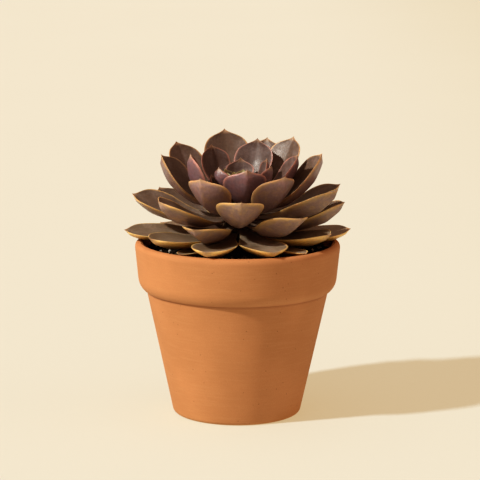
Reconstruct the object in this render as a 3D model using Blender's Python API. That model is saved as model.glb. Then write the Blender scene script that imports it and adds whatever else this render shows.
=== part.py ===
"""Potted echeveria: a rosette of thick spoon-shaped leaves in a clay pot 110 mm across the rim.

Metres, +Z up. The origin lies on the surface that the pot stands on, under the pot's axis,
and the rosette's front is at -Y. Angles are degrees, 0 at +X and 90 at +Y.
"""

import bmesh
import bpy
import numpy as np

MM = 0.001
GAP = 0.3 * MM  # between pieces that touch

# Pot: a turned clay pot with a thick collar.
RIM_RADIUS = 55.0 * MM
POT_HEIGHT = 93.0 * MM
COLLAR_HEIGHT = 26.6 * MM
COLLAR_FOOT_RADIUS = 52.6 * MM
COLLAR_ROUNDING = 4.5 * MM
NECK_RADIUS = 48.5 * MM
BASE_RADIUS = 34.1 * MM
RIM_WALL = 4.5 * MM
FLOOR_THICKNESS = 6.0 * MM
FLOOR_RADIUS = 31.5 * MM
DRAIN_RADIUS = 5.5 * MM
COLLAR_UNDERCUT = 2.6 * MM  # height from the neck to the collar's foot, before it is eased
LIP_OUTER_ROUNDING = 3.4 * MM
LIP_INNER_ROUNDING = 1.6 * MM
BASE_ROUNDING = 2.0 * MM
FLOOR_ROUNDING = 4.0 * MM
DRAIN_ROUNDING = 0.8 * MM
NECK_ROUNDING = 0.5 * MM
POINTS_ON_ROUNDING = 4
POINTS_ON_SMALL_ROUNDING = 2  # under 1 mm
POT_SEGMENTS = 64

# Soil: fills the pot to just under its rim, with a plain hole for the stem.
SOIL_DEPTH = 5.0 * MM
SOIL_RELIEF = 0.5 * MM
SOIL_BROAD_WAVE = 12.5 * MM
SOIL_FINE_WAVE = 5.1 * MM
SOIL_CORNER = 3.5 * MM  # clear of the rounding inside the pot's floor
SOIL_SEGMENTS = 48
SOIL_RINGS = 9
STEM_HOLE_DEPTH = 16.0 * MM

# Stem: short, thickest where the leaves grow, tapering into the heart. Heights are over the rim.
STEM_RADIUS = 6.2 * MM
LEAFY_STEM_RADIUS = 7.9 * MM
LEAFY_STEM_START = -2.0 * MM
LEAFY_STEM_END = 23.5 * MM
STEM_TOP_RADIUS = 4.2 * MM
STEM_TOP = 29.5 * MM
STEM_SEGMENTS = 24

# Leaves, one tier at a time from the soil up. A tier gives the radius at which its leaves
# leave the stem and the depth of the blade from its upper face to its back, in mm, the sag
# of the midline under its chord, per length, and the lift of the margins over the midline,
# per half width.
# A leaf is its azimuth, the height of its foot, the reach of its tip from the axis, the
# height of its tip, its half width and its roll about its own axis in degrees.
# Heights are over the rim, in mm.
SKIRT = dict(foot_radius=8.5, depth=4.0, bow=0.04, cup=0.17, leaves=(
    (5, 2, 61, 6, 12, 5.5),
    (38, 5, 58, 8, 12.5, 0),
    (73, 4, 57, 7, 11, 0),
    (106, 0, 57, 5, 12, 0),
    (142, 3, 54, 4, 11.5, 0),
    (177, 6, 61, 5, 12.5, -7),
    (216, 4.5, 57, 7, 11.5, -4),
    (253, 5.5, 57, 3.8, 11.5, 0),
    (290.5, 7, 55, 3.2, 12, 0),
    (329, 5, 57, 9, 11.5, 4),
))
SMALL_SKIRT = dict(foot_radius=8.5, depth=2.4, bow=0.0, cup=0.17, leaves=(
    (231, -1.5, 49, -0.5, 5.5, 0),
    (313, -1, 52.5, 0.5, 7, 0),
))
LOWER = dict(foot_radius=8.5, depth=4.2, bow=0.08, cup=0.3, leaves=(
    (14, 12, 57, 29, 12, 0),
    (46, 8, 54, 20, 12.5, 0),
    (80, 11, 53, 29, 12.5, 0),
    (108, 5, 54, 20, 12.5, 0),
    (142, 8.5, 55, 23.5, 11, 0),
    (175, 13, 57, 24.5, 12.5, -13),
    (220.5, 12.7, 54, 27, 12, -12),
    (244, 9.7, 52, 14.3, 12, 0),
    (272, 13, 50, 29, 12.5, 0),
    (308, 10.4, 53, 19.6, 12, -3),
    (330, 15, 60, 32.5, 12, 0),
    (344, 9.5, 58.5, 24, 10, 8),
))
MIDDLE = dict(foot_radius=8.5, depth=4.2, bow=0.11, cup=0.3, leaves=(
    (9, 15.5, 45.5, 46.5, 12, 3),
    (41, 19, 40, 53, 12.5, 0),
    (70, 13, 47, 50, 12, 0),
    (101, 18, 40, 55.3, 13, 0),
    (136, 14.2, 47.3, 49, 12.5, 0),
    (179, 18, 41, 46.5, 12.5, -12),
    (238, 17, 37, 38.5, 12.5, 0),
    (309, 18, 39, 39.5, 12.7, 0),
))
INNER = dict(foot_radius=8.5, depth=3.8, bow=0.11, cup=0.3, leaves=(
    (5, 23, 32, 46.5, 9, 5),
    (68, 22, 28, 52, 11, 0),
    (124, 22, 26, 49, 9.2, 0),
    (159, 24.1, 15.5, 35, 5.4, 0),
    (198, 21, 26.5, 48, 10.3, -12),
    (280, 21, 28, 42.5, 11.5, 0),
))
CROWN = dict(foot_radius=6.8, depth=3.2, bow=0.1, cup=0.3, leaves=(
    (15, 26, 16, 44, 6, 0),
    (84, 26, 14, 43, 8, 0),
    (150, 26.5, 11, 38, 6, 0),
    (218, 26, 13, 41, 6.5, 0),
    (279, 26.5, 12.5, 38.5, 5.4, 0),
    (333, 25.5, 20, 42, 7, 0),
))
TIERS = dict(leaf_skirt=SKIRT, leaf_skirt_small=SMALL_SKIRT, leaf_lower=LOWER, leaf_middle=MIDDLE,
             leaf_inner=INNER, leaf_crown=CROWN)

# Shape that every leaf shares.
STATIONS = (0, 0.14, 0.31, 0.48, 0.64, 0.78, 0.89, 0.97)  # rings, as shares of the blade
POINTS_ACROSS = 7  # on the upper face; two fewer on the back
FOOT_SHARE = 0.27  # width of the foot over the widest width
WIDEST_AT = 0.66
END_BLUNTNESS = 2.3
CUP_AT_FOOT = 0.3  # share of the cup there
CUP_FULL_AT = 0.6
FOLD_SHARE = 0.45  # how far the upper face is a fold at the midline and not a trough
KEEL_SHARE = 0.75  # how far the back is a keel with flat sides and not a round belly
FOLD_START = 0.25
FOLD_FULL_AT = 0.75
THICKEST_AT = 0.35
FOOT_DEPTH = 0.62  # depth of the foot over the blade's depth
END_THINNING = 0.62  # share of the depth that is gone at the end
THINNING_POWER = 1.6  # how late it goes
SHARP_ANGLE = 40  # edges bent by more degrees aren't shaded smooth
MARGIN = 1.1  # thickness at the margin, mm
FULL_MARGIN_WIDTH = 5.0  # half width under which the margin thins too, mm
KEEL = 1.2  # ridge along the back of a blade of the depth below, mm
KEELED_DEPTH = 4.2
FULL_KEEL_WIDTH = 6.0  # half width under which the keel is lower, mm
POINT = 2.2  # sharp tip past the rounded end, mm
POINT_RISE = 0.5

# Heart: a bud of small leaves in a spiral, on one core. Heights are over the rim, in mm.
HEART_LEAVES = 9
HEART_FIRST_AZIMUTH = 150
GOLDEN_ANGLE = 137.5
HEART_FOOT = 31.5
HEART_FOOT_RADIUS = 1.5
HEART_TIP_HEIGHTS = (39.5, 36.5)  # outermost and innermost
HEART_REACH = (8.5, 2.0)
HEART_HALF_WIDTHS = (4.4, 2.0)
HEART_DEPTH = 2.2
HEART_BOW = 0.06
HEART_CUP = 0.3
HEART_POINT = 0.8
HEART_POINTS_ACROSS = 5
HEART_CORE = ((3.4, 33.8), (1.2, 35.0))  # radius and height of its shoulder and its end
HEART_CORE_TOP = 35.5
HEART_SEGMENTS = 16


def material(name, colour, roughness):
    """Principled material; colour is linear red, green and blue."""
    made = bpy.data.materials.new(name)
    made.use_nodes = True
    shader = made.node_tree.nodes["Principled BSDF"]
    shader.inputs["Base Color"].default_value = (*colour, 1)
    shader.inputs["Roughness"].default_value = roughness
    shader.inputs["Metallic"].default_value = 0
    return made


def add_piece(name, mesh, finish):
    """Named object from a bmesh, shaded smooth but for its sharp edges."""
    data = bpy.data.meshes.new(name)
    mesh.to_mesh(data)
    mesh.free()
    data.materials.append(finish)
    data.shade_smooth()
    data.set_sharp_from_angle(angle=np.radians(SHARP_ANGLE))
    piece = bpy.data.objects.new(name, data)
    bpy.context.scene.collection.objects.link(piece)
    return piece


def rounded(corners):
    """Points of an outline whose corners (radius, height, rounding) are eased.

    Each eased corner is a quadratic curve that leaves its two sides at the rounding's distance.
    """
    corners = np.array(corners)
    points = []
    for before, corner, after in zip(np.roll(corners, 1, 0), corners, np.roll(corners, -1, 0)):
        at, reach = corner[:2], corner[2]
        start = at + reach * (before[:2] - at) / np.linalg.norm(before[:2] - at)
        end = at + reach * (after[:2] - at) / np.linalg.norm(after[:2] - at)
        count = POINTS_ON_ROUNDING if reach > MM else POINTS_ON_SMALL_ROUNDING
        for t in np.linspace(0, 1, count):
            points.append((1 - t) ** 2 * start + 2 * t * (1 - t) * at + t ** 2 * end)
    return points


def turned(outline, segments, closed):
    """Solid of revolution about the pot's axis from (radius, height) points."""
    mesh = bmesh.new()
    points = [mesh.verts.new((radius, 0, height)) for radius, height in outline]
    sides = [mesh.edges.new(pair) for pair in zip(points, points[1:])]
    if closed:
        sides.append(mesh.edges.new((points[-1], points[0])))
    bmesh.ops.spin(mesh, geom=points + sides, cent=(0, 0, 0), axis=(0, 0, 1),
                   angle=2 * np.pi, steps=segments, use_merge=True)
    bmesh.ops.remove_doubles(mesh, verts=mesh.verts, dist=1e-6)
    bmesh.ops.recalc_face_normals(mesh, faces=mesh.faces)
    return mesh


def inner_radius(height):
    """Radius of the pot's inside, a straight taper from the rim to the floor."""
    down = (POT_HEIGHT - height) / (POT_HEIGHT - FLOOR_THICKNESS)
    return RIM_RADIUS - RIM_WALL + down * (FLOOR_RADIUS - RIM_RADIUS + RIM_WALL)


def add_pot(finish):
    """Clay pot: tapered body, overhanging collar, rounded lip, drain hole in the floor."""
    neck = POT_HEIGHT - COLLAR_HEIGHT
    outline = rounded((
        (DRAIN_RADIUS, 0, DRAIN_ROUNDING),
        (BASE_RADIUS, 0, BASE_ROUNDING),
        (NECK_RADIUS, neck, NECK_ROUNDING),
        (COLLAR_FOOT_RADIUS, neck + COLLAR_UNDERCUT, COLLAR_ROUNDING),
        (RIM_RADIUS, POT_HEIGHT, LIP_OUTER_ROUNDING),
        (RIM_RADIUS - RIM_WALL, POT_HEIGHT, LIP_INNER_ROUNDING),
        (FLOOR_RADIUS, FLOOR_THICKNESS, FLOOR_ROUNDING),
        (DRAIN_RADIUS, FLOOR_THICKNESS, DRAIN_ROUNDING),
    ))
    return add_piece("pot", turned(outline, POT_SEGMENTS, closed=True), finish)


def soil_relief(x, y):
    """Height of the soil's unevenness: a broad chequer of humps and a finer slanting wave."""
    x_turn, y_turn = 2 * np.pi * x, 2 * np.pi * y
    broad = np.sin(x_turn / SOIL_BROAD_WAVE) * np.cos(y_turn / SOIL_BROAD_WAVE)
    fine = np.sin((x_turn - y_turn) / SOIL_FINE_WAVE / np.sqrt(2))
    return SOIL_RELIEF * (broad + fine)


def add_soil(finish):
    """Potting soil: follows the pot's inside, uneven on top, with the stem's hole."""
    top = POT_HEIGHT - SOIL_DEPTH
    hole = STEM_RADIUS + GAP
    bottom = FLOOR_THICKNESS + GAP
    wall_radius = inner_radius(top) - GAP
    rings = np.linspace(hole, wall_radius, SOIL_RINGS)
    outline = [(0, top - STEM_HOLE_DEPTH), (hole, top - STEM_HOLE_DEPTH)]
    outline += [(radius, top) for radius in rings]
    outline += [(inner_radius(bottom + SOIL_CORNER) - GAP, bottom + SOIL_CORNER),
                (FLOOR_RADIUS - SOIL_CORNER, bottom), (0, bottom)]
    mesh = turned(outline, SOIL_SEGMENTS, closed=False)
    near = 0.01 * MM
    for point in mesh.verts:
        radius = np.hypot(point.co.x, point.co.y)
        inside = hole + near < radius < wall_radius - near
        if inside and abs(point.co.z - top) < near:
            point.co.z += soil_relief(point.co.x, point.co.y)
    return add_piece("soil", mesh, finish)


def add_stem(finish):
    """Stem: stands in the soil's hole, thickens where the leaves grow, tapers to the heart."""
    top = POT_HEIGHT - SOIL_DEPTH
    outline = (
        (0, top - STEM_HOLE_DEPTH + GAP),
        (STEM_RADIUS, top - STEM_HOLE_DEPTH + GAP),
        (STEM_RADIUS, top),
        (LEAFY_STEM_RADIUS, POT_HEIGHT + LEAFY_STEM_START),
        (LEAFY_STEM_RADIUS, POT_HEIGHT + LEAFY_STEM_END),
        (STEM_TOP_RADIUS, POT_HEIGHT + STEM_TOP),
        (0, POT_HEIGHT + STEM_TOP),
    )
    return add_piece("stem", turned(outline, STEM_SEGMENTS, closed=False), finish)


def width_share(t):
    """Half width at t along the blade over the widest: a narrow foot that swells by half a
    cosine wave to the widest place, then a rounded end."""
    rise = FOOT_SHARE + (1 - FOOT_SHARE) * (1 - np.cos(np.pi * np.clip(t / WIDEST_AT, 0, 1))) / 2
    past = np.clip((t - WIDEST_AT) / (1 - WIDEST_AT), 0, 1)
    return np.where(t < WIDEST_AT, rise, np.sqrt(1 - past ** END_BLUNTNESS))


def blade_depth(t, depth):
    """Depth of the blade at t along it: it swells from the foot to the thickest place, then
    thins ever faster to the end."""
    swell = FOOT_DEPTH + (1 - FOOT_DEPTH) * np.clip(t / THICKEST_AT, 0, 1)
    past = np.clip((t - THICKEST_AT) / (1 - THICKEST_AT), 0, 1)
    return depth * swell * (1 - END_THINNING * past ** THINNING_POWER)


def leaf_points(azimuth, foot_height, reach, tip_height, half_width, roll, foot_radius, depth, bow,
                cup, across=POINTS_ACROSS, point=POINT):
    """Rings of points round a leaf from its foot to its end, and its sharp tip, in metres.

    The midline is a quadratic curve in the upright plane at the azimuth. Each ring runs over
    the cupped upper face and back under it along the lower face. Both are parabolas at the
    foot, and towards the end they turn into a fold and a keel along the midline.
    """
    foot = np.array([foot_radius, foot_height])
    tip = np.array([reach, tip_height])
    chord = tip - foot
    length = np.hypot(*chord)
    bend = (foot + tip) / 2 + 2 * bow * np.array([chord[1], -chord[0]])
    t = np.array(STATIONS)
    s = np.append(t * (1 - point / length), 1)[:, None]
    midline = (1 - s) ** 2 * foot + 2 * s * (1 - s) * bend + s ** 2 * tip
    along = (1 - s) * (bend - foot) + s * (tip - bend)
    along /= np.linalg.norm(along, axis=1)[:, None]

    width = (half_width * width_share(t))[:, None]
    blade = blade_depth(t, depth)[:, None]
    cup = (CUP_AT_FOOT + (1 - CUP_AT_FOOT) * np.clip(t / CUP_FULL_AT, 0, 1))[:, None] * cup * width
    over = np.linspace(-1, 1, across)
    under = over[-2:0:-1]
    v = np.append(over, under)
    late = np.clip((t - FOLD_START) / (FOLD_FULL_AT - FOLD_START), 0, 1)[:, None]
    dish = v ** 2 + FOLD_SHARE * late * (abs(v) - v ** 2)
    hull = v ** 2 + KEEL_SHARE * late * (abs(v) - v ** 2)
    ridge = late * KEEL * depth / KEELED_DEPTH * np.minimum(1, width / FULL_KEEL_WIDTH)
    belly = (blade + ridge - MARGIN) * (1 - hull) + cup * (dish - hull)
    thickness = (MARGIN + belly) * np.minimum(1, width / FULL_MARGIN_WIDTH)
    side = width * v
    lift = cup * dish
    lift[:, across:] -= thickness[:, across:]

    turn = np.radians(roll)
    side, lift = side * np.cos(turn) - lift * np.sin(turn), side * np.sin(turn) + lift * np.cos(turn)
    heading = np.radians(azimuth)
    outward = np.array([np.cos(heading), np.sin(heading), 0])
    sideways = np.array([-np.sin(heading), np.cos(heading), 0])
    up = np.array([0, 0, 1.0])
    centres = midline[:, :1] * outward + midline[:, 1:] * up
    normals = along[:, :1] * up - along[:, 1:] * outward
    rings = centres[:-1, None] + side[..., None] * sideways + lift[..., None] * normals[:-1, None]
    sharp = centres[-1] + POINT_RISE * normals[-1]
    raised = np.array([0, 0, POT_HEIGHT])
    return rings * MM + raised, sharp * MM + raised


def leaf_mesh(rings, sharp):
    """Closed leaf: its rings bridged one to the next, a flat foot and a pointed end."""
    mesh = bmesh.new()
    rows = [[mesh.verts.new(point) for point in ring] for ring in rings]
    tip = mesh.verts.new(sharp)
    for row, after in zip(rows, rows[1:]):
        for i, corner in enumerate(row):
            back = i - 1
            mesh.faces.new((row[back], corner, after[i]))
            mesh.faces.new((row[back], after[i], after[back]))
    for i, corner in enumerate(rows[-1]):
        mesh.faces.new((rows[-1][i - 1], corner, tip))
    mesh.faces.new(rows[0])
    bmesh.ops.recalc_face_normals(mesh, faces=mesh.faces)
    return mesh


def add_leaves(finishes):
    """Every leaf of the rosette, each its own piece, numbered within its tier."""
    for tier_name, tier in TIERS.items():
        for number, leaf in enumerate(tier["leaves"], start=1):
            rings, sharp = leaf_points(*leaf, tier["foot_radius"], tier["depth"], tier["bow"],
                                       tier["cup"])
            add_piece(f"{tier_name}_{number:02d}", leaf_mesh(rings, sharp), finishes[tier_name])


def add_heart(finish):
    """Bud at the top of the stem: small leaves at the golden angle, joined on a core."""
    low = POT_HEIGHT + STEM_TOP + GAP
    outline = [(0, low), (STEM_TOP_RADIUS, low)]
    outline += [(radius * MM, POT_HEIGHT + height * MM) for radius, height in HEART_CORE]
    outline += [(0, POT_HEIGHT + HEART_CORE_TOP * MM)]
    heart = add_piece("heart", turned(outline, HEART_SEGMENTS, closed=False), finish)
    bud = bpy.data.collections.new("bud_leaves")
    for i in range(HEART_LEAVES):
        share = i / (HEART_LEAVES - 1)
        reach, tip_height, half_width = (
            start + share * (end - start)
            for start, end in (HEART_REACH, HEART_TIP_HEIGHTS, HEART_HALF_WIDTHS))
        azimuth = HEART_FIRST_AZIMUTH + GOLDEN_ANGLE * i
        rings, sharp = leaf_points(azimuth, HEART_FOOT, reach, tip_height, half_width, 0,
                                   HEART_FOOT_RADIUS, HEART_DEPTH, HEART_BOW, HEART_CUP,
                                   across=HEART_POINTS_ACROSS, point=HEART_POINT)
        small = add_piece(f"bud_leaf_{i}", leaf_mesh(rings, sharp), finish)
        bpy.context.scene.collection.objects.unlink(small)
        bud.objects.link(small)
    union = heart.modifiers.new("bud", "BOOLEAN")
    union.operation = "UNION"
    union.operand_type = "COLLECTION"
    union.collection = bud
    joined = bpy.data.meshes.new_from_object(
        heart.evaluated_get(bpy.context.evaluated_depsgraph_get()))
    heart.modifiers.clear()
    heart.data = joined
    for small in list(bud.objects):
        bpy.data.objects.remove(small)
    bpy.data.collections.remove(bud)
    return heart


def main():
    for left_over in list(bpy.data.objects):
        bpy.data.objects.remove(left_over)
    clay = material("terracotta", (0.60, 0.25, 0.11), 0.85)
    earth = material("potting_soil", (0.020, 0.013, 0.010), 0.95)
    bark = material("stem_skin", (0.18, 0.13, 0.07), 0.7)
    ochre = material("leaf_ochre_brown", (0.30, 0.17, 0.10), 0.55)
    mauve = material("leaf_mauve_brown", (0.24, 0.14, 0.13), 0.55)
    rose = material("leaf_rose_brown", (0.25, 0.12, 0.13), 0.55)
    add_pot(clay)
    add_soil(earth)
    add_stem(bark)
    add_leaves(dict(leaf_skirt=ochre, leaf_skirt_small=ochre, leaf_lower=mauve, leaf_middle=mauve,
                    leaf_inner=rose, leaf_crown=rose))
    add_heart(rose)


main()
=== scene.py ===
"""Looks of a potted echeveria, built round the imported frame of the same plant.

Metres, +Z up, and the rosette's front is at -Y. Names that end in _MM hold millimetres.
"""

import bmesh
import bpy
import numpy as np
from mathutils import Matrix


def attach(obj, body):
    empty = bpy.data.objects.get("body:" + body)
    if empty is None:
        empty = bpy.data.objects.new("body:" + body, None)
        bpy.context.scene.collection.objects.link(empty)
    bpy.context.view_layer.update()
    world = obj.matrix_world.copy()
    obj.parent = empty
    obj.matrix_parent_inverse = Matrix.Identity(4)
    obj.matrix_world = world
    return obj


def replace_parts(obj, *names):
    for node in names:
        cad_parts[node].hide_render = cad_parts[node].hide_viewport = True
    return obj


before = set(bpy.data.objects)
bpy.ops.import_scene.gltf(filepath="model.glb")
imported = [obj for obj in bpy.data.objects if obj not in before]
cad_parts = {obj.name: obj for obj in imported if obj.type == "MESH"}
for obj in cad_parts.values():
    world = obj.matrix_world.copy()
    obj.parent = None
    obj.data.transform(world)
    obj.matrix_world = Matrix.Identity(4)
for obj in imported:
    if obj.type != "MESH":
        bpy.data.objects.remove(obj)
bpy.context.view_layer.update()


# Camera, floor and light. A long lens looks down a little on a plain cream surface. One
# fairly hard lamp shines from the left and in front, under a sky brighter overhead. A weak
# warm lamp on the right and the surface's own glow stand for light bounced about the room.

CAMERA_PLACE = (0, -1.1013, 0.2959)
CAMERA_LENS_MM = 157.0
CAMERA_SENSOR_MM = 36.0
CAMERA_PITCH = 10.42
CAMERA_YAW = -0.066
CAMERA_ROLL = 0.34
CAMERA_REACH = 100.0
SKY_LOW = (0.15, 0.075, 0.05, 1)
SKY_HIGH = (0.50, 0.36, 0.27, 1)
FLOOR_SIDE = 40.0
CREAM_DARK = (0.286, 0.386, 0.484, 1)
CREAM_LIGHT = (0.296, 0.398, 0.496, 1)
GLOW_LEFT = (0.374, 0.286, 0.161, 1)
GLOW_RIGHT = (0.340, 0.243, 0.102, 1)
GLOW_TURNS_FROM = 0.05
GLOW_TURNS_TO = 0.60

camera = bpy.data.objects.new("camera", bpy.data.cameras.new("camera"))
bpy.context.scene.collection.objects.link(camera)
camera.data.lens = CAMERA_LENS_MM
camera.data.sensor_width = CAMERA_SENSOR_MM
camera.data.clip_end = CAMERA_REACH
camera.matrix_world = (Matrix.Translation(CAMERA_PLACE)
                       @ Matrix.Rotation(np.radians(CAMERA_YAW), 4, "Z")
                       @ Matrix.Rotation(np.radians(90 - CAMERA_PITCH), 4, "X")
                       @ Matrix.Rotation(np.radians(CAMERA_ROLL), 4, "Z"))
bpy.context.scene.camera = camera
bpy.context.scene.view_settings.view_transform = "Standard"
bpy.context.scene.view_settings.look = "High Contrast"


def add_lamp(name, energy, colour, heading, elevation, softness):
    """Sun lamp whose light travels over the floor at a heading and comes down at an elevation."""
    made = bpy.data.objects.new(name, bpy.data.lights.new(name, "SUN"))
    bpy.context.scene.collection.objects.link(made)
    made.data.energy = energy
    made.data.color = colour
    made.data.angle = np.radians(softness)
    made.matrix_world = (Matrix.Rotation(np.radians(heading - 90), 4, "Z")
                         @ Matrix.Rotation(np.radians(90 - elevation), 4, "X"))


add_lamp("key_lamp", energy=2.3, colour=(1.0, 0.98, 0.90), heading=28.7, elevation=38.9, softness=3.5)
add_lamp("warm_fill", energy=0.25, colour=(1.0, 0.72, 0.60), heading=172.0, elevation=10.0, softness=40.0)


def add_node(tree, kind, inputs=None, **settings):
    """Shader node of a kind. Each input is a value, or the socket that feeds it."""
    made = tree.nodes.new("ShaderNode" + kind)
    for name, value in settings.items():
        setattr(made, name, value)
    for socket, value in (inputs or {}).items():
        if isinstance(value, bpy.types.NodeSocket):
            tree.links.new(value, made.inputs[socket])
        else:
            made.inputs[socket].default_value = value
    return made


def new_material(name, values):
    """Material with a Principled BSDF, whose uniform sockets are set by name."""
    made = bpy.data.materials.new(name)
    made.use_nodes = True
    shader = made.node_tree.nodes["Principled BSDF"]
    for socket, value in values.items():
        shader.inputs[socket].default_value = value
    return made, made.node_tree, shader


def surface_place(tree):
    """Place on the piece, in metres from the middle of the pot's base."""
    return add_node(tree, "TexCoord").outputs["Object"]


def mix(tree, share, first, second):
    """Colour that turns from the first to the second as the share goes from 0 to 1."""
    made = add_node(tree, "Mix", {0: share, 6: first, 7: second}, data_type="RGBA")
    return made.outputs[2]


def step(tree, value, low, high, to_low=0.0, to_high=1.0):
    """Value eased from one level to another as the input passes between two limits."""
    made = add_node(tree, "MapRange", {"Value": value, "From Min": low, "From Max": high,
                                       "To Min": to_low, "To Max": to_high},
                    interpolation_type="SMOOTHSTEP")
    return made.outputs["Result"]


def noise(tree, where, scale, detail=2.0, roughness=0.5):
    """Soft noise between 0 and 1, with about scale humps to a metre."""
    made = add_node(tree, "TexNoise", {"Vector": where, "Scale": scale, "Detail": detail,
                                       "Roughness": roughness})
    return made.outputs["Fac"]


world = bpy.data.worlds.new("pale_room")
world.use_nodes = True
tree = world.node_tree
upward = add_node(tree, "TexCoord").outputs["Generated"]
height = add_node(tree, "SeparateXYZ", {"Vector": upward}).outputs["Z"]
share = add_node(tree, "MapRange", {"Value": height}).outputs["Result"]
tree.links.new(mix(tree, share, SKY_LOW, SKY_HIGH), tree.nodes["Background"].inputs["Color"])
bpy.context.scene.world = world

cream, tree, shader = new_material("cream_surface", {"Roughness": 0.85, "Emission Strength": 1.0})
where = surface_place(tree)
cloud = noise(tree, where, 3.0)
tree.links.new(mix(tree, cloud, CREAM_DARK, CREAM_LIGHT), shader.inputs["Base Color"])
# The glow is painted light, and it is dimmer towards the right, as if the lamps' light fell off across the
# surface.
across = add_node(tree, "SeparateXYZ", {"Vector": where}).outputs["X"]
glow = mix(tree, step(tree, across, GLOW_TURNS_FROM, GLOW_TURNS_TO), GLOW_LEFT, GLOW_RIGHT)
tree.links.new(glow, shader.inputs["Emission Color"])
floor_mesh = bpy.data.meshes.new("floor")
half = FLOOR_SIDE / 2
floor_mesh.from_pydata([(-half, -half, 0), (half, -half, 0), (half, half, 0), (-half, half, 0)], [],
                       [(0, 1, 2, 3)])
floor_mesh.materials.append(cream)
floor = bpy.data.objects.new("floor", floor_mesh)
bpy.context.scene.collection.objects.link(floor)


# Pot. A small flower pot pressed from red clay on a turning mould and fired without a glaze:
# a tapered body under a thick straight collar, a rounded lip and a drain hole in the floor.
# Shade is painted into the clay in the crease under the collar.

MM = 0.001
RIM_RADIUS_MM = 55.0
POT_HEIGHT_MM = 93.0
POT_WALL_MM = 4.5
POT_FLOOR_MM = 6.0
BASE_RADIUS_MM = 34.1
INSIDE_FOOT_RADIUS_MM = 31.5
DRAIN_RADIUS_MM = 5.5
NECK_RADIUS_MM = 48.5
NECK_HEIGHT_MM = 66.4
COLLAR_FOOT_RADIUS_MM = 52.6
COLLAR_LEDGE_MM = 2.6
POT_CORNERS_MM = (  # radius, height and rounding
    (DRAIN_RADIUS_MM, 0, 0.8),
    (BASE_RADIUS_MM, 0, 2.0),
    (NECK_RADIUS_MM, NECK_HEIGHT_MM, 0.5),
    (COLLAR_FOOT_RADIUS_MM, NECK_HEIGHT_MM + COLLAR_LEDGE_MM, 4.5),
    (RIM_RADIUS_MM, POT_HEIGHT_MM, 3.4),
    (RIM_RADIUS_MM - POT_WALL_MM, POT_HEIGHT_MM, 1.6),
    (INSIDE_FOOT_RADIUS_MM, POT_FLOOR_MM, 4.0),
    (DRAIN_RADIUS_MM, POT_FLOOR_MM, 0.8),
)
CORNER_POINTS = 10
POT_SPACING_MM = 1.5
POT_SEGMENTS = 240
POT_OUT_OF_ROUND_MM = 0.12
SWELL_TURN_MM = 30.0
SWELL_FROM_RADIUS_MM = 30.0
CREASE_SHADE_BELOW_MM = 1.0
CREASE_SHADE_FADE_MM = (0.3, 1.6)
CLAY_DARK = (0.56, 0.276, 0.124, 1)
CLAY_LIGHT = (0.615, 0.305, 0.14, 1)
CLAY_LINE = (0.64, 0.36, 0.175, 1)
CLAY_GRAIN = (0.38, 0.155, 0.07, 1)
CLAY_PIT = (0.22, 0.075, 0.03, 1)
CLAY_CREASE_SHADE = (0.36, 0.13, 0.055, 1)


def rounded(corners):
    """Closed outline whose corners are eased by quadratic curves of their own reach."""
    corners = np.array(corners, float)
    at = corners[:, :2]
    reach = corners[:, 2:]
    before, after = np.roll(at, 1, 0) - at, np.roll(at, -1, 0) - at
    start = at + reach * before / np.linalg.norm(before, axis=1)[:, None]
    end = at + reach * after / np.linalg.norm(after, axis=1)[:, None]
    t = np.linspace(0, 1, CORNER_POINTS)[None, :, None]
    eased = (1 - t) ** 2 * start[:, None] + 2 * t * (1 - t) * at[:, None] + t ** 2 * end[:, None]
    return eased.reshape(-1, 2)


def spaced(outline, spacing):
    """Closed outline with extra points, so that no side is longer than the spacing."""
    following = np.roll(outline, -1, 0)
    counts = np.ceil(np.linalg.norm(following - outline, axis=1) / spacing).astype(int)
    counts = np.maximum(counts, 1)
    owner = np.repeat(np.arange(len(outline)), counts)
    share = (np.arange(len(owner)) - np.repeat(np.cumsum(counts) - counts, counts)) / counts[owner]
    return outline[owner] + share[:, None] * (following - outline)[owner]


def turned(outline, segments):
    """Rings about the pot's axis, one for each (radius, height) point of an outline."""
    angle = np.linspace(0, 2 * np.pi, segments, endpoint=False)
    radius, height = outline[:, :1], outline[:, 1:]
    return np.stack([radius * np.cos(angle), radius * np.sin(angle), height + 0 * angle], -1)


def ringed_mesh(name, rings, start=None, end=None, closed=False):
    """Mesh over rings of points in metres, each joined to the next by quads.

    A start or an end point closes that end with a fan of triangles, and closed joins the
    last ring to the first. Faces are turned outward by the sign of the volume they hold.
    """
    index = np.arange(rings.shape[0] * rings.shape[1]).reshape(rings.shape[:2])
    points = [rings.reshape(-1, 3)]
    joined = np.vstack([index, index[:1]]) if closed else index
    here, after = joined[:-1], joined[1:]
    quads = np.stack([here, np.roll(here, -1, 1), np.roll(after, -1, 1), after], -1)
    faces = quads.reshape(-1, 4).tolist()
    for pole, ring in ((start, index[0, ::-1]), (end, index[-1])):
        if pole is not None:
            tip = np.full(len(ring), sum(map(len, points)))
            faces += np.stack([ring, np.roll(ring, -1), tip], -1).tolist()
            points.append(np.reshape(pole, (1, 3)))
    mesh = bpy.data.meshes.new(name)
    mesh.from_pydata(np.vstack(points).tolist(), [], faces)
    solid = bmesh.new()
    solid.from_mesh(mesh)
    if solid.calc_volume(signed=True) < 0:
        mesh.flip_normals()
    solid.free()
    mesh.shade_smooth()
    return mesh


def place(mesh, finish):
    """Object of a mesh with its material, riding the plant's one body."""
    piece = bpy.data.objects.new(mesh.name, mesh)
    bpy.context.scene.collection.objects.link(piece)
    mesh.materials.append(finish)
    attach(piece, "root")
    return piece


def times(tree, first, second):
    """Product of two values."""
    return add_node(tree, "Math", {0: first, 1: second}, operation="MULTIPLY").outputs[0]


def plus(tree, first, second):
    """Sum of two values."""
    return add_node(tree, "Math", {0: first, 1: second}, operation="ADD").outputs[0]


def add_relief(tree, shader, height, strength, depth):
    """Fine relief on a surface, where a height of 1 stands out by the depth in metres."""
    relief = add_node(tree, "Bump", {"Strength": strength, "Distance": depth, "Height": height})
    tree.links.new(relief.outputs[0], shader.inputs["Normal"])


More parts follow.
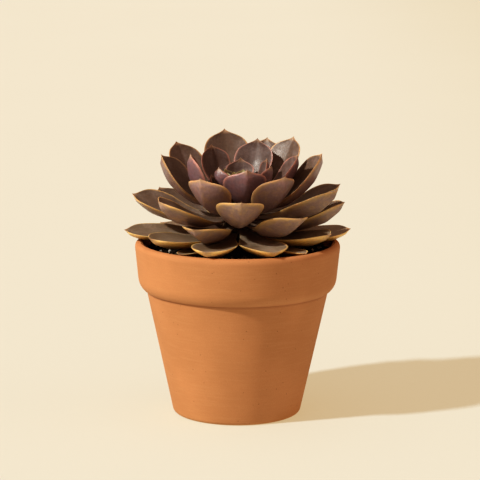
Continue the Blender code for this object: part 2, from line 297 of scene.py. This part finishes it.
clay, tree, shader = new_material("terracotta", {"Roughness": 0.8, "Specular IOR Level": 0.3})
where = surface_place(tree)
broad = noise(tree, where, 35.0, 3.0)
flat = add_node(tree, "Mapping", {"Vector": where, "Scale": (1, 1, 14)}).outputs[0]
lines = noise(tree, flat, 70.0, 4.0)
grain = noise(tree, where, 1800.0, 3.0, 0.6)
pits = add_node(tree, "TexVoronoi", {"Vector": where, "Scale": 210.0}).outputs["Distance"]
pit = step(tree, pits, 0.03, 0.09, 1.0, 0.0)
level = add_node(tree, "SeparateXYZ", {"Vector": where}).outputs["Z"]
neck = NECK_HEIGHT_MM * MM
# Painted shade: the clay turns darker in the crease under the collar, where the collar's shadow falls.
crease_shade_low = step(tree, level, neck - CREASE_SHADE_BELOW_MM * MM, neck, 0.0, 0.4)
crease_shade_high = step(tree, level, neck + CREASE_SHADE_FADE_MM[0] * MM, neck + CREASE_SHADE_FADE_MM[1] * MM, 1.0, 0.0)
colour = mix(tree, step(tree, broad, 0.35, 0.68), CLAY_DARK, CLAY_LIGHT)
colour = mix(tree, step(tree, lines, 0.42, 0.75, 0.0, 0.25), colour, CLAY_LINE)
colour = mix(tree, step(tree, grain, 0.30, 0.75, 0.16, 0.0), colour, CLAY_GRAIN)
colour = mix(tree, times(tree, pit, 0.55), colour, CLAY_PIT)
colour = mix(tree, times(tree, crease_shade_low, crease_shade_high), colour, CLAY_CREASE_SHADE)
tree.links.new(colour, shader.inputs["Base Color"])
height = plus(tree, times(tree, grain, 0.35), times(tree, lines, 0.35))
height = plus(tree, height, times(tree, pit, -0.8))
add_relief(tree, shader, height, 0.25, 0.0004)

# Two slow waves run round the wall, and the second turns as it rises.
outline = spaced(rounded(POT_CORNERS_MM), POT_SPACING_MM)
rings = turned(outline, POT_SEGMENTS)
angle = np.arctan2(rings[..., 1], rings[..., 0])
waves = np.sin(2 * angle + 0.7) + 0.4 * np.sin(3 * angle + rings[..., 2] / SWELL_TURN_MM)
radius = np.hypot(rings[..., 0], rings[..., 1]).clip(SWELL_FROM_RADIUS_MM)
rings[..., :2] *= 1 + (POT_OUT_OF_ROUND_MM * waves / radius)[..., None]
pot = place(ringed_mesh("clay_pot", rings * MM, closed=True), clay)
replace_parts(pot, "pot")


# Soil. Dark moist potting mix pressed in round the plant to just under the lip, uneven and
# crumbly on top, with a plain hole that the stem stands in.

SOIL_TOP_MM = 88.0
SOIL_GAP_MM = 0.3
SOIL_SHOULDER_MM = 9.8
SOIL_FOOT_RADIUS_MM = 28.0
STEM_RADIUS_MM = 6.2
STEM_HOLE_FOOT_MM = 72.0
SOIL_WAVES_MM = (12.5, 7.0, 4.4, 2.6, 1.7)
WAVES_OF_EACH_LENGTH = 4
WAVES_TOGETHER_MM = 25.0
SOIL_RELIEF_MM = 0.9
SOIL_CALM_MM = 2.0
SOIL_SEED = 7
SOIL_SEGMENTS = 300
SOIL_SPACING_MM = 0.7
SOIL_DAMP = (0.006, 0.004, 0.003, 1)
SOIL_DRY = (0.030, 0.018, 0.011, 1)
SOIL_FIBRE = (0.085, 0.052, 0.030, 1)


def pot_inside(height):
    """Radius of the pot's inside at a height, a straight taper from the lip to the floor."""
    down = (POT_HEIGHT_MM - height) / (POT_HEIGHT_MM - POT_FLOOR_MM)
    return RIM_RADIUS_MM - POT_WALL_MM + down * (INSIDE_FOOT_RADIUS_MM - RIM_RADIUS_MM + POT_WALL_MM)


def soil_relief(x, y):
    """Height of the soil over its level: crossed waves at random headings, finer and lower."""
    draw = np.random.default_rng(SOIL_SEED)
    height = 0
    for length in np.repeat(SOIL_WAVES_MM, WAVES_OF_EACH_LENGTH):
        heading, phase = draw.uniform(0, 2 * np.pi, 2)
        along = x * np.cos(heading) + y * np.sin(heading)
        height = height + length * np.sin(2 * np.pi * along / length + phase)
    return SOIL_RELIEF_MM * height / WAVES_TOGETHER_MM


earth, tree, shader = new_material("potting_mix", {"Roughness": 0.95, "Specular IOR Level": 0.25})
where = surface_place(tree)
damp = noise(tree, where, 260.0, 4.0, 0.65)
fibre = noise(tree, where, 1500.0, 2.0)
crumb = add_node(tree, "TexVoronoi", {"Vector": where, "Scale": 700.0}).outputs["Distance"]
colour = mix(tree, step(tree, damp, 0.35, 0.7), SOIL_DAMP, SOIL_DRY)
colour = mix(tree, step(tree, fibre, 0.62, 0.75), colour, SOIL_FIBRE)
tree.links.new(colour, shader.inputs["Base Color"])
add_relief(tree, shader, plus(tree, crumb, noise(tree, where, 2400.0, 3.0)), 0.8, 0.0008)

hole = STEM_RADIUS_MM + SOIL_GAP_MM
wall = pot_inside(SOIL_TOP_MM) - SOIL_GAP_MM
soil_foot = POT_FLOOR_MM + SOIL_GAP_MM
top_radii = np.arange(hole, wall, SOIL_SPACING_MM)
outline = np.array([(hole, STEM_HOLE_FOOT_MM), *((radius, SOIL_TOP_MM) for radius in top_radii),
                    (wall, SOIL_TOP_MM), (pot_inside(SOIL_SHOULDER_MM) - SOIL_GAP_MM, SOIL_SHOULDER_MM),
                    (SOIL_FOOT_RADIUS_MM, soil_foot)])
rings = turned(outline, SOIL_SEGMENTS)
top = rings[1:len(top_radii) + 2]
calm = np.clip((np.hypot(top[..., 0], top[..., 1]) - hole) / SOIL_CALM_MM, 0, 1)
top[..., 2] += calm * soil_relief(top[..., 0], top[..., 1])
soil = place(ringed_mesh("potting_soil", rings * MM, start=(0, 0, STEM_HOLE_FOOT_MM * MM),
                         end=(0, 0, soil_foot * MM)), earth)
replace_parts(soil, "soil")


# Grit and crumbs. Pale pumice and grey grit mixed into the soil for drainage, and lumps of
# dark bark, lying loose on top of it.

GRIT_COUNT = 300
GRIT_SIZES_MM = (0.8, 2.7)
GRIT_SEED = 21
GRIT_GREY = (0.28, 0.25, 0.20, 1)
GRIT_PALE = (0.85, 0.80, 0.70, 1)
GRIT_DIRT = (0.10, 0.08, 0.06, 1)
CRUMB_COUNT = 520
CRUMB_SIZES_MM = (0.5, 1.9)
CRUMB_SEED = 22
BARK_DARK = (0.008, 0.005, 0.003, 1)
BARK_LIGHT = (0.060, 0.034, 0.018, 1)
SMALL_LUMP_POWER = 0.6
CORNER_BEND = (0.72, 1.15)
LUMP_STRETCH = (0.6, 1.1)
LUMP_RISE = 0.1
OFF_STEM_MM = 2
OFF_WALL_MM = 1


def scattered(name, count, sizes, seed):
    """Mesh of angular lumps, each a bent icosahedron at a drawn place, size and turn, set
    two fifths of its height into the soil.

    The corners of the plain solid are those of three crossed golden rectangles. Its sides
    are 1.24 long, and corners that share no side lie 2 apart or more.
    """
    draw = np.random.default_rng(seed)
    golden = (1 + 5 ** 0.5) / 2
    pairs = [(a, b * golden) for a in (-1, 1) for b in (-1, 1)]
    corners = np.array([(0, a, b) for a, b in pairs] + [(a, b, 0) for a, b in pairs]
                       + [(b, 0, a) for a, b in pairs]) / golden
    near = np.linalg.norm(corners[:, None] - corners[None], axis=-1) < 1.3
    faces = np.array([(i, j, k) for i in range(12) for j in range(i + 1, 12) for k in range(j + 1, 12)
                      if near[i, j] and near[j, k] and near[i, k]])
    first, second, third = corners[faces].swapaxes(0, 1)
    inward = (np.cross(second - first, third - first) * first).sum(1) < 0
    faces[inward] = faces[inward][:, ::-1]
    size = sizes[0] + (sizes[1] - sizes[0]) * draw.power(SMALL_LUMP_POWER, count)
    radius = np.sqrt(draw.uniform((hole + OFF_STEM_MM) ** 2, (wall - OFF_WALL_MM) ** 2, count))
    heading = draw.uniform(0, 2 * np.pi, count)
    x, y = radius * np.cos(heading), radius * np.sin(heading)
    turn = np.linalg.qr(draw.normal(size=(count, 3, 3)))[0]
    turn *= np.sign(np.linalg.det(turn))[:, None, None]
    bent = corners[None] * draw.uniform(*CORNER_BEND, (count, 12, 1))
    bent = bent * draw.uniform(*LUMP_STRETCH, (count, 1, 3))
    lump = np.einsum("nij,nkj->nki", turn, bent) * (size / 2)[:, None, None]
    centre = np.stack([x, y, SOIL_TOP_MM + soil_relief(x, y) + LUMP_RISE * size], -1)
    points = (lump + centre[:, None]).reshape(-1, 3) * MM
    every = (faces[None] + 12 * np.arange(count)[:, None, None]).reshape(-1, 3)
    mesh = bpy.data.meshes.new(name)
    mesh.from_pydata(points.tolist(), [], every.tolist())
    return mesh


grit, tree, shader = new_material("pale_grit", {"Roughness": 0.8})
where = surface_place(tree)
dirt = noise(tree, where, 3000.0, 2.0)
colour = mix(tree, noise(tree, where, 160.0, 1.0), GRIT_GREY, GRIT_PALE)
colour = mix(tree, step(tree, dirt, 0.3, 0.6, 0.5, 0.0), colour, GRIT_DIRT)
tree.links.new(colour, shader.inputs["Base Color"])
add_relief(tree, shader, noise(tree, where, 4000.0, 2.0), 0.6, 0.0003)
place(scattered("soil_grit", GRIT_COUNT, GRIT_SIZES_MM, GRIT_SEED), grit)

bark, tree, shader = new_material("bark_crumbs", {"Roughness": 0.9})
where = surface_place(tree)
colour = mix(tree, noise(tree, where, 300.0, 2.0), BARK_DARK, BARK_LIGHT)
tree.links.new(colour, shader.inputs["Base Color"])
add_relief(tree, shader, noise(tree, where, 2500.0, 3.0), 0.6, 0.0004)
place(scattered("soil_crumbs", CRUMB_COUNT, CRUMB_SIZES_MM, CRUMB_SEED), bark)


# Stem. One short corky stem, ringed by the scars of leaves that have dropped, thickest where
# the leaves grow and tapering into the heart.

STEM_OUTLINE_MM = (  # radius and height
    (STEM_RADIUS_MM, 72.3),
    (STEM_RADIUS_MM, 88.0),
    (7.9, 91.0),
    (7.9, 116.5),
    (4.2, 122.5),
)
STEM_SEGMENTS = 72
STEM_RING_MM = 0.4
SCAR_SPACING_MM = 2.4
SCAR_SWAY = 0.9
SCAR_DEPTH = 0.05
STEM_LOBES = 0.015
CORK_DARK = (0.055, 0.030, 0.016, 1)
CORK_LIGHT = (0.17, 0.105, 0.055, 1)

skin, tree, shader = new_material("stem_skin", {"Roughness": 0.75})
fleck = noise(tree, surface_place(tree), 420.0, 4.0, 0.6)
colour = mix(tree, step(tree, fleck, 0.35, 0.68), CORK_DARK, CORK_LIGHT)
tree.links.new(colour, shader.inputs["Base Color"])
add_relief(tree, shader, fleck, 0.6, 0.0005)

corners = np.array(STEM_OUTLINE_MM)
heights = np.arange(corners[0, 1], corners[-1, 1], STEM_RING_MM)
outline = np.stack([np.interp(heights, corners[:, 1], corners[:, 0]), heights], -1)
rings = turned(outline, STEM_SEGMENTS)
angle = np.arctan2(rings[..., 1], rings[..., 0])
swayed = np.pi * rings[..., 2] / SCAR_SPACING_MM + SCAR_SWAY * np.sin(2 * angle)
scar = np.abs(np.sin(swayed)) ** 0.5
rings[..., :2] *= (1 - SCAR_DEPTH * (1 - scar) - STEM_LOBES * np.sin(5 * angle))[..., None]
stem = place(ringed_mesh("corky_stem", rings * MM, start=(0, 0, corners[0, 1] * MM),
                         end=(0, 0, corners[-1, 1] * MM)), skin)
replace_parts(stem, "stem")


# Leaves. Thick spoon-shaped blades on the stem, tier over tier: a hollowed upper face, a
# keeled back, a thin translucent margin and a short pale point, all under a waxy bloom.

LEAF_STATIONS = 60
LEAF_ACROSS = 36
STATION_BUNCHING = 1.5
FOOT_OVERRUN = 0.03
FOOT_SHARE = 0.27
WIDEST_AT = 0.66
END_BLUNTNESS = 2.3
CUSP_SLOPES = (0.55, 0.95)
CUSP_FLARE_PER_MM = 0.42
FOOT_DEPTH = 0.62
THICKEST_AT = 0.35
END_THINNING = 0.62
THINNING_POWER = 1.6
THIN_UNDER_MM = 7.0
THIN_POWER = 0.8
MARGIN_MM = 1.0
MARGIN_SQUARENESS = 10
LIP_MM = 0.35
FLAT_CUP = 0.17
DEEP_CUP = 0.30
FOOT_CUP = 0.3
CUP_FULL_AT = 0.6
FOLD_SHARE = 0.45
KEEL_SHARE = 0.92
CREST_FROM = 0.25
CREST_FULL_AT = 0.75
CREST_ROUNDING = 0.03
KEEL_MM = 2.1
KEEL_DEPTH_MM = 4.2
KEEL_FADE_MM = 14.0
EDGE_RIPPLE = 0.012
RIPPLE_TURNS = 1.3
WAVE_MM = (0.15, 0.5)
WAVE_TURNS = (0.8, 1.8)
DIMPLE_MM = 0.10
SWAY_MM = 0.3
POINT_LIFT_MM = 0.5
SKIN_COLOURS = ("Face", "Bloom", "Back", "Back Edge", "Margin", "Point")
SKIN_FIELDS = {"Edge": "edge", "Tip": "tip", "Under": "back", "Along": "along", "Across": "across",
               "Tone": "tone"}


def blade_width(t, length, half_width, slope):
    """Half width: a narrow foot that swells by half a cosine wave to the widest place, then a
    rounded end. A cusp that widens ever faster behind the point cuts the round end short."""
    t = np.clip(t, 0, 1)
    rise = FOOT_SHARE + (1 - FOOT_SHARE) * (1 - np.cos(np.pi * np.clip(t / WIDEST_AT, 0, 1))) / 2
    past = np.clip((t - WIDEST_AT) / (1 - WIDEST_AT), 0, 1)
    body = half_width * np.where(t < WIDEST_AT, rise, np.sqrt(1 - past ** END_BLUNTNESS))
    left = (1 - t) * length
    cusp = slope * left + CUSP_FLARE_PER_MM * left ** 2
    return body * cusp / (body ** 3 + cusp ** 3 + 1e-9) ** (1 / 3)


def blade_depth(t, depth):
    """Depth from the upper face to the back: thickest at a third, thinning to the end."""
    swell = FOOT_DEPTH + (1 - FOOT_DEPTH) * np.clip(t / THICKEST_AT, 0, 1)
    past = np.clip((t - THICKEST_AT) / (1 - THICKEST_AT), 0, 1)
    return depth * swell * (1 - END_THINNING * past ** THINNING_POWER)


def leaf_mesh(name, leaf, build, seed, stations=LEAF_STATIONS, across=LEAF_ACROSS):
    """Leaf from its foot to its point, with what its skin needs to know at each vertex.

    The midline is a quadratic curve in the upright plane at the leaf's azimuth, and its
    stations lie closer together towards the point. Each ring runs over the upper face and
    back under it. Both faces are parabolas at the foot, and towards the end they turn into
    a fold and a keel along the midline. Slow waves drawn for each leaf lift the margins and
    dimple the faces. The azimuth and the roll are in degrees, the bow is a share of the
    leaf's length, and the cupping a share of its half width.
    """
    azimuth, foot_height, reach, tip_height, half_width, roll = leaf
    foot_radius, depth, bow, cupping = build
    draw = np.random.default_rng(seed)
    foot, tip = np.array([foot_radius, foot_height]), np.array([reach, tip_height])
    chord = tip - foot
    length = np.hypot(*chord)
    bend = (foot + tip) / 2 + 2 * bow * np.array([chord[1], -chord[0]])
    s = 1 - (1 - np.arange(stations) / stations) ** STATION_BUNCHING
    s = (1 + FOOT_OVERRUN) * s[:, None] - FOOT_OVERRUN
    midline = (1 - s) ** 2 * foot + 2 * s * (1 - s) * bend + s ** 2 * tip
    slope = (1 - s) * (bend - foot) + s * (tip - bend)
    slope /= np.linalg.norm(slope, axis=1)[:, None]

    body = np.clip(s, 0, 1)
    left = (1 - s) * length
    width = blade_width(s, length, half_width, draw.uniform(*CUSP_SLOPES))
    width = width * (1 + EDGE_RIPPLE * np.sin(2 * np.pi * (RIPPLE_TURNS * s + draw.uniform())))
    over = -np.cos(np.pi * np.arange(across + 1) / across)[None]
    under = over[:, -2:0:-1]
    v = np.hstack([over, under])
    back = np.hstack([0 * over, 0 * under + 1])

    cup = cupping * (FOOT_CUP + (1 - FOOT_CUP) * np.clip(body / CUP_FULL_AT, 0, 1)) * width
    closing = np.sqrt(1 - v ** MARGIN_SQUARENESS)
    thin = np.minimum(1, width / THIN_UNDER_MM) ** THIN_POWER
    late = np.clip((body - CREST_FROM) / (CREST_FULL_AT - CREST_FROM), 0, 1)
    sharp = late * cupping / DEEP_CUP
    tent = np.sqrt(v ** 2 + CREST_ROUNDING ** 2) - CREST_ROUNDING * (1 - v ** 2)
    dish = v ** 2 + FOLD_SHARE * sharp * (tent - v ** 2)
    hull = v ** 2 + KEEL_SHARE * sharp * (tent - v ** 2)
    ridge = KEEL_MM * depth / KEEL_DEPTH_MM * late * np.clip(left / KEEL_FADE_MM, 0, 1)
    belly = (blade_depth(body, depth) - MARGIN_MM + ridge) * (1 - hull) + cup * (dish - hull)
    thick = MARGIN_MM * closing + belly

    amounts = draw.uniform(*WAVE_MM, 2)
    turns = draw.uniform(*WAVE_TURNS, 2)
    starts = draw.uniform(0, 1, 2)
    waves = [a * np.sin(2 * np.pi * (f * s + p)) for a, f, p in zip(amounts, turns, starts)]
    wave = np.where(v < 0, waves[0], waves[1]) * np.abs(v) ** 3 * np.clip(body * 3, 0, 1) * thin
    dimple = DIMPLE_MM * np.sin(5 * v + 9 * s + draw.uniform(0, 6))
    dimple = dimple * np.sin(3 * v - 14 * s + draw.uniform(0, 6))
    lift = cup * dish - LIP_MM * (1 - closing) * thin + wave + dimple * (1 - v ** 2)
    lift = lift - back * thick * thin
    side = width * v

    turn = np.radians(roll)
    side, lift = side * np.cos(turn) - lift * np.sin(turn), side * np.sin(turn) + lift * np.cos(turn)
    heading = np.radians(azimuth)
    outward = np.array([np.cos(heading), np.sin(heading), 0])
    sideways = np.array([-np.sin(heading), np.cos(heading), 0])
    up = np.array([0, 0, 1.0])
    sway = draw.normal(0, SWAY_MM) * np.sin(np.pi * s)
    centres = midline[:, :1] * outward + midline[:, 1:] * up + sway * sideways
    normals = slope[:, :1] * up - slope[:, 1:] * outward
    rings = centres[:, None] + side[..., None] * sideways + lift[..., None] * normals[:, None]
    end = tip[0] * outward + tip[1] * up + POINT_LIFT_MM * normals[-1]
    start = centres[0] - 0.5 * blade_depth(0, depth) * normals[0]
    base = np.array([0, 0, POT_HEIGHT_MM])
    mesh = ringed_mesh(name, (rings + base) * MM, start=(start + base) * MM, end=(end + base) * MM)

    edge = (1 - np.abs(v)) * width
    fields = {"edge": (edge, 0, 0), "tip": (left + 0 * v, length, 0), "back": (back + 0 * width, 0.5, 0),
              "along": (s + 0 * v, 0, 1), "across": (width * v, 0, 0),
              "tone": (0 * v + 0 * s + draw.uniform(), 0.5, 0.5)}
    for field, (values, at_start, at_end) in fields.items():
        data = np.concatenate([values.ravel(), [at_start, at_end]]).astype(np.float32)
        mesh.attributes.new(field, "FLOAT", "POINT").data.foreach_set("value", data)
    return mesh


def leaf_skin_group():
    """Skin of a leaf: its upper face, back, margin and point, bloomed, streaked and toned."""
    group = bpy.data.node_groups.new("leaf_skin", "ShaderNodeTree")
    inputs = {"Place": "Vector", **{name: "Color" for name in SKIN_COLOURS},
              **{name: "Float" for name in SKIN_FIELDS}, "Edge Reach": "Float"}
    outputs = {"Color": "Color", "Roughness": "Float", "Height": "Float"}
    for direction, sockets in (("INPUT", inputs), ("OUTPUT", outputs)):
        for name, kind in sockets.items():
            group.interface.new_socket(name, in_out=direction, socket_type="NodeSocket" + kind)
    given = group.nodes.new("NodeGroupInput").outputs
    out = group.nodes.new("NodeGroupOutput")

    patches = noise(group, given["Place"], 95.0, 4.0, 0.6)
    blotch = noise(group, given["Place"], 260.0, 3.0, 0.6)
    mottle = noise(group, given["Place"], 750.0, 3.0, 0.6)
    powder = noise(group, given["Place"], 4200.0, 2.0)
    strand = add_node(group, "CombineXYZ", {0: times(group, given["Across"], 1.6),
                                            1: times(group, given["Along"], 3.0),
                                            2: times(group, given["Tone"], 40.0)}).outputs[0]
    streak = noise(group, strand, 1.0, 3.0, 0.6)

    bloom = times(group, step(group, patches, 0.38, 0.68), step(group, mottle, 0.25, 0.7, 0.55, 1.0))
    face = mix(group, times(group, bloom, 0.8), given["Face"], given["Bloom"])

    edge = plus(group, given["Edge"], step(group, mottle, 0.2, 0.8, -0.35, 0.35))
    near = step(group, edge, 0.4, given["Edge Reach"], 1.0, 0.0)
    band = times(group, near, step(group, given["Along"], 0.1, 0.6))
    band = times(group, band, step(group, streak, 0.38, 0.55, 0.45, 1.0))
    back = mix(group, step(group, streak, 0.35, 0.7, 0.0, 0.14), given["Back"], given["Face"])
    back = mix(group, times(group, bloom, 0.45), back, given["Bloom"])
    back = mix(group, step(group, blotch, 0.46, 0.66, 0.0, 0.45), back, given["Back Edge"])
    back = mix(group, band, back, given["Back Edge"])

    rim = step(group, edge, 0.25, 1.25, 0.9, 0.0)
    rim = times(group, rim, step(group, patches, 0.3, 0.6, 0.55, 1.0))
    rim = times(group, rim, step(group, given["Along"], 0.15, 0.5, 0.1, 1.0))
    colour = mix(group, given["Under"], face, back)
    colour = mix(group, rim, colour, given["Margin"])
    colour = mix(group, step(group, given["Tip"], 0.8, 3.2, 0.9, 0.0), colour, given["Point"])
    fleck = step(group, mottle, 0.25, 0.75, -0.11, 0.11)
    tone = plus(group, step(group, given["Tone"], 0.0, 1.0, 0.86, 1.12), fleck)
    tint = add_node(group, "CombineXYZ", {0: tone, 1: tone, 2: tone}).outputs[0]
    toned = add_node(group, "VectorMath", {0: colour, 1: tint}, operation="MULTIPLY").outputs[0]
    group.links.new(toned, out.inputs["Color"])

    rough = step(group, bloom, 0.0, 1.0, 0.39, 0.60)
    rough = plus(group, rough, step(group, mottle, 0.2, 0.8, -0.06, 0.06))
    group.links.new(rough, out.inputs["Roughness"])
    height = plus(group, times(group, mottle, 0.8), times(group, powder, 0.25))
    height = plus(group, height, times(group, streak, 0.25))
    group.links.new(height, out.inputs["Height"])
    return group


leaf_skin = leaf_skin_group()


def leaf_finish(name, edge_reach, **colours):
    """Leaf material: the skin group fed with this tier's colours and the leaf's own fields.

    The edge's colour on the back reaches inwards by so many millimetres.
    """
    made, tree, shader = new_material(name, {
        "Subsurface Weight": 0.12, "Subsurface Scale": 0.0012, "Subsurface Radius": (1.0, 0.45, 0.25),
        "Specular IOR Level": 0.5})
    skin_node = tree.nodes.new("ShaderNodeGroup")
    skin_node.node_tree = leaf_skin
    skin_node.inputs["Edge Reach"].default_value = edge_reach
    tree.links.new(surface_place(tree), skin_node.inputs["Place"])
    for socket in SKIN_COLOURS:
        colour = colours[socket.lower().replace(" ", "_")]
        skin_node.inputs[socket].default_value = (*colour, 1)
    for socket, field in SKIN_FIELDS.items():
        read = add_node(tree, "Attribute", attribute_name=field)
        tree.links.new(read.outputs["Fac"], skin_node.inputs[socket])
    tree.links.new(skin_node.outputs["Color"], shader.inputs["Base Color"])
    tree.links.new(skin_node.outputs["Roughness"], shader.inputs["Roughness"])
    add_relief(tree, shader, skin_node.outputs["Height"], 0.35, 0.0003)
    return made


TIER_NAMES = ("leaf_skirt", "leaf_skirt_small", "leaf_lower", "leaf_middle", "leaf_inner", "leaf_crown")


def add_tier(tier, leaves, build, finish):
    """The leaves of one tier, each standing for its plain leaf in the frame."""
    for number, leaf in enumerate(leaves, start=1):
        node = f"{tier}_{number:02d}"
        seed = 100 * (1 + TIER_NAMES.index(tier)) + number
        mesh = leaf_mesh(node.replace("leaf", "blade"), leaf, build, seed)
        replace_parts(place(mesh, finish), node)


# Skirt. The oldest leaves lie nearly flat over the pot's lip, gone ochre along their edges.
# Each leaf is its azimuth, foot height, reach, tip height, half width and roll, with the
# heights over the pot's lip. A tier's build is its foot radius, depth, bow and cup.

SKIRT_BUILD_MM = (8.5, 4.0, 0.04, FLAT_CUP)
SKIRT_LEAVES_MM = (
    (5, 2, 61, 6, 12, 5.5),
    (38, 5, 58, 8, 12.5, 0),
    (73, 4, 57, 7, 11, 0),
    (106, 0, 57, 5, 12, 0),
    (142, 3, 54, 4, 11.5, 0),
    (177, 6, 61, 5, 12.5, -7),
    (216, 4.5, 57, 7, 11.5, -4),
    (253, 5.5, 57, 3.8, 11.5, 0),
    (290.5, 7, 55, 3.2, 12, 0),
    (329, 5, 57, 9, 11.5, 4),
)
SMALL_SKIRT_BUILD_MM = (8.5, 2.4, 0.0, FLAT_CUP)
SMALL_SKIRT_LEAVES_MM = (
    (231, -1.5, 49, -0.5, 5.5, 0),
    (313, -1, 52.5, 0.5, 7, 0),
)

ochre_skin = leaf_finish("ochre_leaf_skin", edge_reach=4.5, face=(0.25, 0.185, 0.125),
                         bloom=(0.42, 0.34, 0.27), back=(0.62, 0.39, 0.145), back_edge=(0.88, 0.56, 0.17),
                         margin=(0.90, 0.64, 0.27), point=(0.50, 0.32, 0.18))
add_tier("leaf_skirt", SKIRT_LEAVES_MM, SKIRT_BUILD_MM, ochre_skin)
add_tier("leaf_skirt_small", SMALL_SKIRT_LEAVES_MM, SMALL_SKIRT_BUILD_MM, ochre_skin)


# Lower and middle tiers. Full-grown leaves that rise at about 25 and then 55 degrees, mauve
# brown under a grey bloom, with golden margins. The lower ones are duller, with wide ochre
# edges on their backs.

LOWER_BUILD_MM = (8.5, 4.2, 0.08, DEEP_CUP)
LOWER_LEAVES_MM = (
    (14, 12, 57, 29, 12, 0),
    (46, 8, 54, 20, 12.5, 0),
    (80, 11, 53, 29, 12.5, 0),
    (108, 5, 54, 20, 12.5, 0),
    (142, 8.5, 55, 23.5, 11, 0),
    (175, 13, 57, 24.5, 12.5, -13),
    (220.5, 12.7, 54, 27, 12, -12),
    (244, 9.7, 52, 14.3, 12, 0),
    (272, 13, 50, 29, 12.5, 0),
    (308, 10.4, 53, 19.6, 12, -3),
    (330, 15, 60, 32.5, 12, 0),
    (344, 9.5, 58.5, 24, 10, 8),
)
MIDDLE_BUILD_MM = (8.5, 4.2, 0.11, DEEP_CUP)
MIDDLE_LEAVES_MM = (
    (9, 15.5, 45.5, 46.5, 12, 3),
    (41, 19, 40, 53, 12.5, 0),
    (70, 13, 47, 50, 12, 0),
    (101, 18, 40, 55.3, 13, 0),
    (136, 14.2, 47.3, 49, 12.5, 0),
    (179, 18, 41, 46.5, 12.5, -12),
    (238, 17, 37, 38.5, 12.5, 0),
    (309, 18, 39, 39.5, 12.7, 0),
)

dusky_skin = leaf_finish("dusky_leaf_skin", edge_reach=3.5, face=(0.165, 0.115, 0.085),
                         bloom=(0.275, 0.215, 0.18), back=(0.36, 0.235, 0.20), back_edge=(0.52, 0.34, 0.165),
                         margin=(0.70, 0.47, 0.20), point=(0.50, 0.34, 0.22))
mauve_skin = leaf_finish("mauve_leaf_skin", edge_reach=3.2, face=(0.155, 0.105, 0.080),
                         bloom=(0.26, 0.20, 0.18), back=(0.35, 0.22, 0.21), back_edge=(0.44, 0.28, 0.165),
                         margin=(0.62, 0.40, 0.20), point=(0.50, 0.34, 0.22))
add_tier("leaf_lower", LOWER_LEAVES_MM, LOWER_BUILD_MM, dusky_skin)
add_tier("leaf_middle", MIDDLE_LEAVES_MM, MIDDLE_BUILD_MM, mauve_skin)


# Inner leaves, crown and heart. The youngest leaves stand close round the growing point,
# rosier, with pink margins, and the heart is a bud of the smallest, still half green.

INNER_BUILD_MM = (8.5, 3.8, 0.11, DEEP_CUP)
INNER_LEAVES_MM = (
    (5, 23, 32, 46.5, 9, 5),
    (68, 22, 28, 52, 11, 0),
    (124, 22, 26, 49, 9.2, 0),
    (159, 24.1, 15.5, 35, 5.4, 0),
    (198, 21, 26.5, 48, 10.3, -12),
    (280, 21, 28, 42.5, 11.5, 0),
)
CROWN_BUILD_MM = (6.8, 3.2, 0.10, DEEP_CUP)
CROWN_LEAVES_MM = (
    (15, 26, 16, 44, 6, 0),
    (84, 26, 14, 43, 8, 0),
    (150, 26.5, 11, 38, 6, 0),
    (218, 26, 13, 41, 6.5, 0),
    (279, 26.5, 12.5, 38.5, 5.4, 0),
    (333, 25.5, 20, 42, 7, 0),
)
BUD_BUILD_MM = (1.5, 2.0, 0.06, DEEP_CUP)
BUD_LEAVES = 11
BUD_FIRST_AZIMUTH = 150
GOLDEN_ANGLE = 137.5
BUD_FOOT_MM = 30.5
BUD_OUTER_MM = np.array([8.5, 38.5, 4.4])  # reach, tip height and half width
BUD_SHRINKS_MM = np.array([7.0, 3.5, 2.6])
BUD_STATIONS = 30
BUD_ACROSS = 14
BUD_SEED = 700

rose_skin = leaf_finish("rose_leaf_skin", edge_reach=1.8, face=(0.120, 0.074, 0.062),
                        bloom=(0.23, 0.17, 0.16), back=(0.25, 0.155, 0.175), back_edge=(0.32, 0.16, 0.15),
                        margin=(0.51, 0.265, 0.215), point=(0.42, 0.28, 0.19))
add_tier("leaf_inner", INNER_LEAVES_MM, INNER_BUILD_MM, rose_skin)
add_tier("leaf_crown", CROWN_LEAVES_MM, CROWN_BUILD_MM, rose_skin)

bud_skin = leaf_finish("bud_leaf_skin", edge_reach=1.2, face=(0.10, 0.07, 0.05), bloom=(0.16, 0.13, 0.10),
                       back=(0.20, 0.14, 0.11), back_edge=(0.28, 0.21, 0.11), margin=(0.36, 0.28, 0.14),
                       point=(0.40, 0.35, 0.16))
joined = bmesh.new()
for i in range(BUD_LEAVES):
    reach, tip_height, half_width = BUD_OUTER_MM - BUD_SHRINKS_MM * (i / (BUD_LEAVES - 1))
    leaf = (BUD_FIRST_AZIMUTH + GOLDEN_ANGLE * i, BUD_FOOT_MM, reach, tip_height, half_width, 0)
    mesh = leaf_mesh(f"bud_{i}", leaf, BUD_BUILD_MM, BUD_SEED + i, BUD_STATIONS, BUD_ACROSS)
    joined.from_mesh(mesh)
    bpy.data.meshes.remove(mesh)
heart_mesh = bpy.data.meshes.new("heart_bud")
joined.to_mesh(heart_mesh)
joined.free()
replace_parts(place(heart_mesh, bud_skin), "heart")
